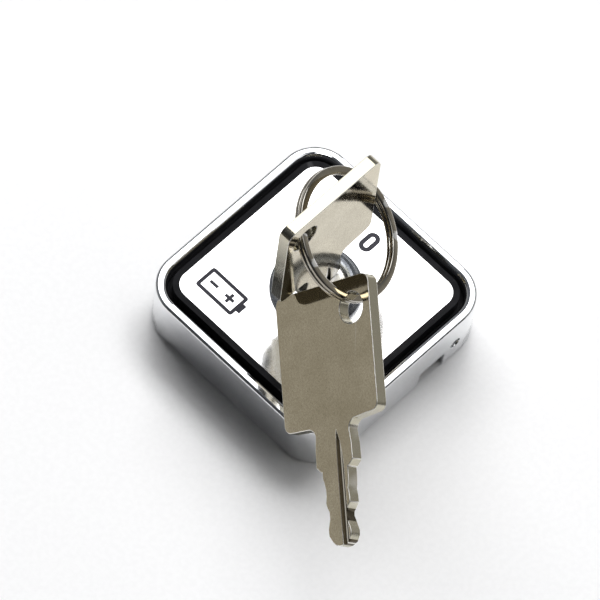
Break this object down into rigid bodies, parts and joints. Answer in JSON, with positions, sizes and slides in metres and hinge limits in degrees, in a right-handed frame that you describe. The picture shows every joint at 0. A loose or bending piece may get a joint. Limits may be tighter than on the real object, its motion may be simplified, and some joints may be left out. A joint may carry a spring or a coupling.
{
  "type": "key-operated battery switch",
  "caption": "Square chrome key switch with mirror dial, domed lock, plugged-in key and a split ring that carries a spare key; a turning cam closes the internal contacts.",
  "frame": {"origin": "centre of the square housing on its flat underside", "axes": "+Z out of the dial along the lock axis; +Y towards the 0 mark; +X towards the 1 mark and the cable outlet side; the key blank lies in the YZ plane at rest"},
  "size_m": [0.0714, 0.064, 0.0529],
  "materials": {
    "bezel_chrome": "polished chrome plate",
    "black_plastic": "fine matt moulding",
    "black_rubber": "matt",
    "polished_steel": "mirror polish",
    "black_fill": "enamel filled engraving",
    "satin_metal": "satin chrome",
    "zinc_alloy": "plated die casting",
    "steel": "zinc plated",
    "dark_steel": "black oxide",
    "brass": "bare",
    "copper": "rolled copper strip",
    "silver": "silver alloy",
    "ivory_plastic": "moulded nylon",
    "key_nickel": "nickel plate with fine milling marks on the edges",
    "ring_nickel": "bright nickel plate"
  },
  "bodies": {
    "housing": {"bezel": "bezel_chrome", "plate_carrier": "black_plastic", "carrier_seal": "black_rubber", "face_plate": "polished_steel", "dial_markings": "black_fill", "lock_collar": "satin_metal", "lock_barrel": "zinc_alloy", "barrel_washer": "steel", "barrel_nut": "brass", "base_cover": "black_plastic", "base_seal": "black_rubber", "mounting_inserts": "brass", "carrier_screws": "steel", "grub_screw": "dark_steel", "contact_block": "ivory_plastic", "fixed_contacts": "brass", "terminal_clamps": "steel", "terminal_screws": "steel", "return_spring": "steel"},
    "plug": {"lock_plug": "zinc_alloy", "plug_o_ring": "black_rubber", "drive_cam": "ivory_plastic", "retaining_clip": "steel"},
    "wafers_a": {"wafers_up": "brass"},
    "wafers_b": {"wafers_down": "brass"},
    "key": {"operating_key": "key_nickel"},
    "ring": {"split_ring": "ring_nickel"},
    "spare": {"spare_key": "key_nickel"},
    "plunger": {"contact_plunger": "ivory_plastic", "contact_bridge": "copper", "bridge_contacts": "silver"}
  },
  "joints": [
    {"name": "key_turn", "type": "hinge", "parent": "housing", "child": "plug", "pos_m": [0, 0, 0.01], "axis": [0, 0, -1], "range_deg": [0, 90]},
    {"name": "key_pull", "type": "slide", "parent": "plug", "child": "key", "axis": [0, 0, 1], "range_m": [0, 0.024]},
    {"name": "wafers_a_slide", "type": "slide", "parent": "plug", "child": "wafers_a", "axis": [0, 1, 0], "range_m": [0, 0.0009]},
    {"name": "wafers_b_slide", "type": "slide", "parent": "plug", "child": "wafers_b", "axis": [0, -1, 0], "range_m": [0, 0.0009]},
    {"name": "ring_swing", "type": "hinge", "parent": "key", "child": "ring", "pos_m": [0, -0.00743, 0.0459], "axis": [0, -0.8983, 0.4395], "range_deg": [0, 16]},
    {"name": "spare_swing", "type": "hinge", "parent": "ring", "child": "spare", "pos_m": [0.01485, -0.0062, 0.03435], "axis": [-0.3789, -0.6835, 0.6239], "range_deg": [0, 30]},
    {"name": "contact_slide", "type": "slide", "parent": "housing", "child": "plunger", "axis": [1, 0, 0], "range_m": [0, 0.002], "deforming": ["return_spring"]}
  ],
  "couplings": [
    {"joint": "wafers_a_slide", "follows": "key_pull", "ratio": 0.0375},
    {"joint": "wafers_b_slide", "follows": "key_pull", "ratio": 0.0375},
    {"joint": "contact_slide", "follows": "key_turn", "m_per_rad": 0.0012732}
  ]
}
